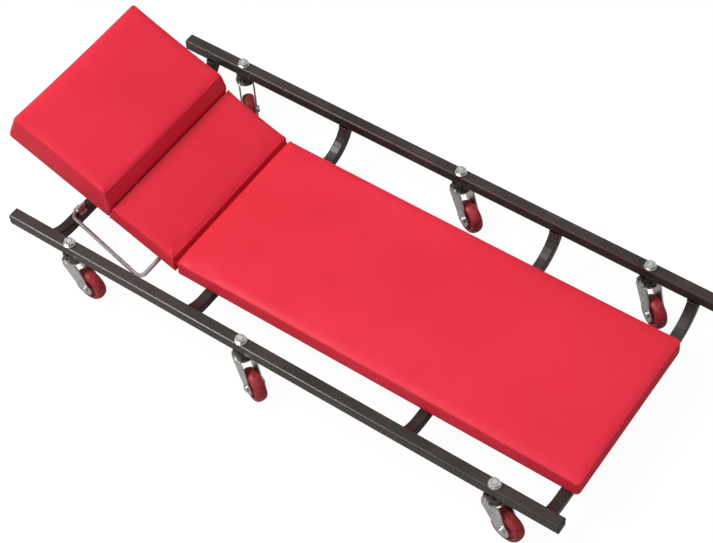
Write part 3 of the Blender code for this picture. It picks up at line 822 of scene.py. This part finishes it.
# %% Lay the weld beads
TUBE_HALF, BEAD = 0.009, 0.0015
BELOW_RAIL = BEAD * 0.4
RIPPLE, WAVES, CORNER_POWER, RING_STEPS = 0.18, 24, 6, 72


def weld_bead(name, spot):
    """A rippled bead round a square tube, centred on a point under the rail."""
    shape = bmesh.new()
    bmesh.ops.create_circle(shape, cap_ends=False, radius=BEAD, segments=8)
    bmesh.ops.rotate(shape, cent=(0, 0, 0), matrix=Matrix.Rotation(math.pi / 2, 3, "X"), verts=shape.verts)
    bmesh.ops.translate(shape, vec=(TUBE_HALF, 0, 0), verts=shape.verts)
    spin_round(shape, (0, 0, 1), RING_STEPS)
    for vert in shape.verts:
        angle = math.atan2(vert.co.y, vert.co.x)
        out = Vector((vert.co.x, vert.co.y, 0))
        corner_sum = abs(math.cos(angle)) ** CORNER_POWER + abs(math.sin(angle)) ** CORNER_POWER
        ripple = 1 + RIPPLE * math.sin(WAVES * angle)
        beyond = (out.length - TUBE_HALF) * ripple
        ring = out.normalized() * (TUBE_HALF * corner_sum ** (-1 / CORNER_POWER) + beyond)
        vert.co = Vector((ring.x, ring.y, vert.co.z * ripple)) + spot
    bmesh.ops.recalc_face_normals(shape, faces=shape.faces)
    return riding_piece(name, shape, "black_coated_steel", "frame")


welds = []
for side in ("right", "left"):
    rail_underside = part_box("rail_" + side)[0].z
    for number in range(1, 5):
        low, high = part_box(f"cross_member_{number}")
        end = high.y - TUBE_HALF if side == "left" else low.y + TUBE_HALF
        spot = Vector(((low.x + high.x) / 2, end, rail_underside - BELOW_RAIL))
        welds.append(weld_bead(f"weld_{side}_{number}", spot))
print("laid", len(welds), "weld beads")

# %% [markdown]
# The studio is a wide floor under a bright sky. The floor takes light as a grey matt
# surface, so that the sides and undersides stay dark. To the camera it is mostly plain
# white, so the picture's ground is white and still keeps a soft shadow.

# %% Lay the floor
FLOOR_REACH, FLOOR_GREY, WHITE_SHARE, GLOW = 14.0, 0.45, 0.86, 1.10

floor_shape = bmesh.new()
bmesh.ops.create_grid(floor_shape, x_segments=2, y_segments=2, size=FLOOR_REACH)
floor_mesh = bpy.data.meshes.new("floor")
floor_shape.to_mesh(floor_mesh)
floor_shape.free()
floor = bpy.data.objects.new("floor", floor_mesh)
scene.collection.objects.link(floor)
pale, tree, shader, _ = new_finish("floor_white", Roughness=0.9, Specular_IOR_Level=0.0)
shader.inputs["Base Color"].default_value = (FLOOR_GREY, FLOOR_GREY, FLOOR_GREY, 1)
glow = add_node(tree, "ShaderNodeEmission", {"Strength": GLOW})
share = add_node(tree, "ShaderNodeMath", {1: WHITE_SHARE}, operation="MULTIPLY")
join(tree, add_node(tree, "ShaderNodeLightPath"), "Is Camera Ray", share, 0)
mix = add_node(tree, "ShaderNodeMixShader")
join(tree, share, "Value", mix, 0)
join(tree, shader, 0, mix, 1)
join(tree, glow, 0, mix, 2)
join(tree, mix, 0, tree.nodes["Material Output"], "Surface")
floor_mesh.materials.append(pale)
print("floor laid,", 2 * FLOOR_REACH, "m wide")

# %% [markdown]
# The sky is white to the camera too. It lights the creeper like a large cloth overhead:
# bright straight above, where the direction's Z is one, and dim towards the horizon and
# below.

# %% Hang the sky
SKY_LOW, SKY_HIGH = 0.12, 0.70

world = bpy.data.worlds.new("studio")
world.use_nodes = True
scene.world = world
tree = world.node_tree
sky = tree.nodes["Background"]
sky.inputs["Color"].default_value = (1, 1, 1, 1)
heights = add_node(tree, "ShaderNodeSeparateXYZ")
join(tree, add_node(tree, "ShaderNodeTexCoord"), "Generated", heights, "Vector")
level_of = add_node(tree, "ShaderNodeMapRange", {"To Min": SKY_LOW, "To Max": SKY_HIGH})
join(tree, heights, "Z", level_of, "Value")
seen = add_node(tree, "ShaderNodeMath", operation="MAXIMUM")
join(tree, level_of, "Result", seen, 0)
join(tree, add_node(tree, "ShaderNodeLightPath"), "Is Camera Ray", seen, 1)
join(tree, seen, 0, sky, "Strength")
print("sky from", SKY_LOW, "to", SKY_HIGH)

# %% [markdown]
# In the picture the step of the headrest, which faces the foot end, is in shade, and the
# tops are even. So the main lamp hangs high beyond the head end and a little to the near
# side. It is large enough for soft edges, and away from the camera's mirror direction.
# A weaker lamp fills the near side.

# %% Hang the lamps
AIM = Vector((0, 0, 0.05))


def hang_lamp(name, spot, size, watts):
    """A square soft lamp that points at the creeper."""
    lamp = bpy.data.objects.new(name, bpy.data.lights.new(name, "AREA"))
    scene.collection.objects.link(lamp)
    lamp.data.size = size
    lamp.data.energy = watts
    lamp.location = spot
    lamp.rotation_euler = (AIM - Vector(spot)).to_track_quat("-Z", "Y").to_euler()


hang_lamp("main_lamp", (-1.9, -1.2, 3.15), size=1.3, watts=101.0)
hang_lamp("fill_lamp", (0.9, -2.6, 2.0), size=2.2, watts=6.0)
print("two lamps hung")
